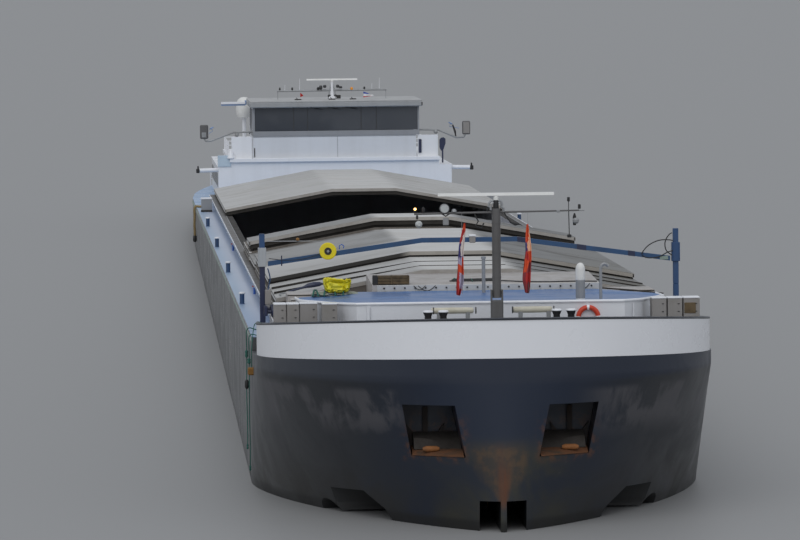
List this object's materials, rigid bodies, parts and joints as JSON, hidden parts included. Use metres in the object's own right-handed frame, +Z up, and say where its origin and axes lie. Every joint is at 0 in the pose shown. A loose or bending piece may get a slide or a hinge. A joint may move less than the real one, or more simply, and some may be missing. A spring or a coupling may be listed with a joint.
{
  "type": "general cargo vessel, 1:10 scale model",
  "caption": "Inland dry cargo vessel as a 1:10 scale model: open hold with stacked hatch covers and their gantry, folding bow mast, lifting wheelhouse, propeller and rudders.",
  "frame": {"origin": "on the waterline plane, amidships (half of the length), on the centreline", "axes": "+Y aft, towards the stern, so the bow points to -Y; +X to port; +Z up"},
  "size_m": [1.14, 11, 1.014],
  "materials": {
    "hull_blue": "satin, stained",
    "hold_black": "matte, worn",
    "deck_blue": "satin, weathered",
    "white_paint": "gloss",
    "cover_aluminium": "matte, weathered",
    "locker_grey": "matte",
    "black_paint": "satin",
    "orange_plastic": "matte",
    "crate_wood": "rough, weathered",
    "yellow_fabric": "creased",
    "anchor_steel": "rusty",
    "mast_grey": "satin",
    "white_plastic": "gloss",
    "flag_fabric": "woven",
    "gantry_blue": "satin",
    "yellow_plastic": "satin",
    "engine_iron": "painted",
    "bronze": "cast",
    "window_glass": "tinted",
    "black_plastic": "matte"
  },
  "bodies": {
    "hull": {"hull_bow": "hull_blue", "hull_stern": "hull_blue", "hull_bottom": "hold_black", "hull_side_starboard": "deck_blue", "hull_side_port": "deck_blue", "forecastle": "white_paint", "foredeck_trunk": "deck_blue", "hatch_end_fore": "cover_aluminium", "lockers_starboard": "locker_grey", "lockers_port": "locker_grey", "windlass": "white_paint", "bollards_fore": "black_paint", "life_ring": "orange_plastic", "crate": "crate_wood", "bag": "yellow_fabric", "anchor_starboard": "anchor_steel", "anchor_port": "anchor_steel", "mast_foot": "mast_grey", "engine": "engine_iron", "propeller_nozzle": "hull_blue", "deckhouse_walls": "white_paint", "deckhouse_roof": "white_paint", "satellite_dome": "white_plastic", "stern_winch": "gantry_blue"},
    "bow_mast": {"bow_mast": "mast_grey", "flag_starboard": "flag_fabric", "flag_port": "flag_fabric"},
    "bow_radar": {"bow_radar": "white_plastic"},
    "cover_fore_1": {"cover_fore_1": "cover_aluminium"},
    "cover_fore_2": {"cover_fore_2": "cover_aluminium"},
    "cover_fore_3": {"cover_fore_3": "cover_aluminium"},
    "cover_fore_4": {"cover_fore_4": "cover_aluminium"},
    "cover_stack": {"cover_stack": "cover_aluminium"},
    "cover_aft_1": {"cover_aft_1": "cover_aluminium"},
    "cover_aft_2": {"cover_aft_2": "cover_aluminium"},
    "cover_aft_3": {"cover_aft_3": "cover_aluminium"},
    "gantry": {"gantry_post_starboard": "gantry_blue", "gantry_post_port": "gantry_blue"},
    "gantry_wheel_starboard_fore": {"gantry_wheel_starboard_fore": "gantry_blue"},
    "gantry_wheel_starboard_aft": {"gantry_wheel_starboard_aft": "gantry_blue"},
    "gantry_wheel_port_fore": {"gantry_wheel_port_fore": "gantry_blue"},
    "gantry_wheel_port_aft": {"gantry_wheel_port_aft": "gantry_blue"},
    "gantry_beam": {"gantry_beam": "gantry_blue", "cable_reel": "yellow_plastic"},
    "propeller": {"propeller": "bronze"},
    "bow_thruster": {"bow_thruster": "bronze"},
    "rudder_port": {"rudder_port": "hull_blue"},
    "rudder_starboard": {"rudder_starboard": "hull_blue"},
    "deckhouse_door": {"deckhouse_door": "white_paint"},
    "wheelhouse": {"wheelhouse_body": "white_paint", "wheelhouse_roof": "white_paint", "wheelhouse_glass_fore": "window_glass", "wheelhouse_glass_aft": "window_glass", "helm": "black_plastic", "lift_column": "mast_grey", "roof_mast": "white_paint"},
    "wheelhouse_door_starboard": {"wheelhouse_door_starboard": "white_paint"},
    "wheelhouse_door_port": {"wheelhouse_door_port": "white_paint"},
    "roof_radar": {"roof_radar": "white_plastic"}
  },
  "joints": [
    {"name": "bow_mast_fold", "type": "hinge", "parent": "hull", "child": "bow_mast", "pos_m": [0, -5.334, 0.562], "axis": [-1, 0, 0], "range_deg": [0, 60]},
    {"name": "bow_radar_turn", "type": "hinge", "parent": "bow_mast", "child": "bow_radar", "pos_m": [0, -5.334, 0.79], "axis": [0, 0, 1], "continuous": true},
    {"name": "cover_fore_1_lift", "type": "slide", "parent": "hull", "child": "cover_fore_1", "axis": [0, 0, 1], "range_m": [0, 0.02]},
    {"name": "cover_fore_2_lift", "type": "slide", "parent": "hull", "child": "cover_fore_2", "axis": [0, 0, 1], "range_m": [0, 0.02]},
    {"name": "cover_fore_3_lift", "type": "slide", "parent": "hull", "child": "cover_fore_3", "axis": [0, 0, 1], "range_m": [0, 0.02]},
    {"name": "cover_fore_4_lift", "type": "slide", "parent": "hull", "child": "cover_fore_4", "axis": [0, 0, 1], "range_m": [0, 0.02]},
    {"name": "cover_stack_lift", "type": "slide", "parent": "hull", "child": "cover_stack", "axis": [0, 0, 1], "range_m": [0, 0.02]},
    {"name": "cover_aft_1_lift", "type": "slide", "parent": "hull", "child": "cover_aft_1", "axis": [0, 0, 1], "range_m": [0, 0.02]},
    {"name": "cover_aft_2_lift", "type": "slide", "parent": "hull", "child": "cover_aft_2", "axis": [0, 0, 1], "range_m": [0, 0.02]},
    {"name": "cover_aft_3_lift", "type": "slide", "parent": "hull", "child": "cover_aft_3", "axis": [0, 0, 1], "range_m": [0, 0.02]},
    {"name": "gantry_travel", "type": "slide", "parent": "hull", "child": "gantry", "axis": [0, 1, 0], "range_m": [-0.15, 7.3]},
    {"name": "gantry_wheel_starboard_fore_turn", "type": "hinge", "parent": "gantry", "child": "gantry_wheel_starboard_fore", "pos_m": [-0.5075, -4.397, 0.4653], "axis": [1, 0, 0], "continuous": true},
    {"name": "gantry_wheel_starboard_aft_turn", "type": "hinge", "parent": "gantry", "child": "gantry_wheel_starboard_aft", "pos_m": [-0.5075, -4.287, 0.4653], "axis": [1, 0, 0], "continuous": true},
    {"name": "gantry_wheel_port_fore_turn", "type": "hinge", "parent": "gantry", "child": "gantry_wheel_port_fore", "pos_m": [0.5075, -4.397, 0.4653], "axis": [1, 0, 0], "continuous": true},
    {"name": "gantry_wheel_port_aft_turn", "type": "hinge", "parent": "gantry", "child": "gantry_wheel_port_aft", "pos_m": [0.5075, -4.287, 0.4653], "axis": [1, 0, 0], "continuous": true},
    {"name": "gantry_beam_lift", "type": "slide", "parent": "gantry", "child": "gantry_beam", "axis": [0, 0, 1], "range_m": [0, 0.03]},
    {"name": "propeller_turn", "type": "hinge", "parent": "hull", "child": "propeller", "pos_m": [0, 4.85, -0.045], "axis": [0, 1, 0], "continuous": true},
    {"name": "bow_thruster_turn", "type": "hinge", "parent": "hull", "child": "bow_thruster", "pos_m": [0, -5.02, 0], "axis": [1, 0, 0], "continuous": true},
    {"name": "rudder_port_turn", "type": "hinge", "parent": "hull", "child": "rudder_port", "pos_m": [0.038, 4.98, -0.05], "axis": [0, 0, 1], "range_deg": [-45, 45]},
    {"name": "rudder_starboard_turn", "type": "hinge", "parent": "hull", "child": "rudder_starboard", "pos_m": [-0.038, 4.98, -0.05], "axis": [0, 0, 1], "range_deg": [-45, 45]},
    {"name": "deckhouse_door_swing", "type": "hinge", "parent": "hull", "child": "deckhouse_door", "pos_m": [0.2475, 4.898, 0.483], "axis": [0, 0, 1], "range_deg": [0, 100]},
    {"name": "wheelhouse_lift", "type": "slide", "parent": "hull", "child": "wheelhouse", "axis": [0, 0, 1], "range_m": [0, 0.2]},
    {"name": "wheelhouse_door_starboard_swing", "type": "hinge", "parent": "wheelhouse", "child": "wheelhouse_door_starboard", "pos_m": [-0.323, 4.0975, 0.676], "axis": [0, 0, 1], "range_deg": [0, 100]},
    {"name": "wheelhouse_door_port_swing", "type": "hinge", "parent": "wheelhouse", "child": "wheelhouse_door_port", "pos_m": [0.323, 4.0975, 0.676], "axis": [0, 0, -1], "range_deg": [0, 100]},
    {"name": "roof_radar_turn", "type": "hinge", "parent": "wheelhouse", "child": "roof_radar", "pos_m": [0, 3.92, 0.875], "axis": [0, 0, 1], "continuous": true}
  ],
  "couplings": [
    {"joint": "rudder_starboard_turn", "follows": "rudder_port_turn", "ratio": 1}
  ]
}
